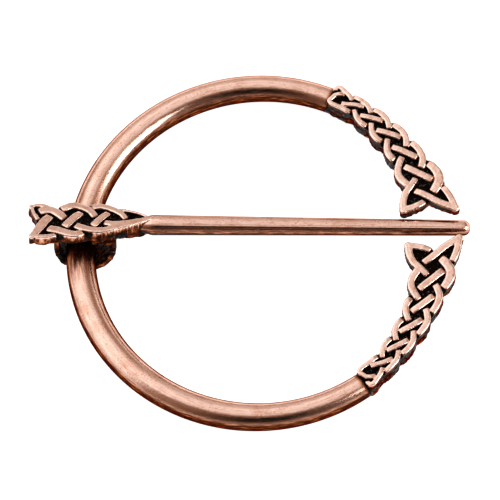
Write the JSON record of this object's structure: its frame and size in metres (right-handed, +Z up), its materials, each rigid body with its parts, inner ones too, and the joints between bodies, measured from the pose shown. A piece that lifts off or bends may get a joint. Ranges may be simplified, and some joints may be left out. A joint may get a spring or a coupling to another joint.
{
  "type": "cloak pin",
  "caption": "Open ring of round rod with flat interlaced terminals and a loose long pin: its interlaced head carries a collar that runs on the ring.",
  "frame": {"origin": "on the surface the pin lies on, under the middle of the whole", "axes": "+X along the pin from its head to its tip and out through the ring's gap, +Z up from the surface"},
  "size_m": [0.0636, 0.056, 0.0118],
  "materials": {
    "hoop_metal": "polished copper plate, darkened in the recesses",
    "pin_metal": "polished copper plate, darkened in the recesses"
  },
  "bodies": {
    "hoop": {"hoop": "hoop_metal"},
    "pin": {"pin": "pin_metal"}
  },
  "joints": [
    {"name": "pin_swing", "type": "hinge", "parent": "hoop", "child": "pin", "pos_m": [-0.02463, 0.00324, 0.00414], "axis": [-0.1244, -0.9922, 0.0075], "continuous": true}
  ]
}
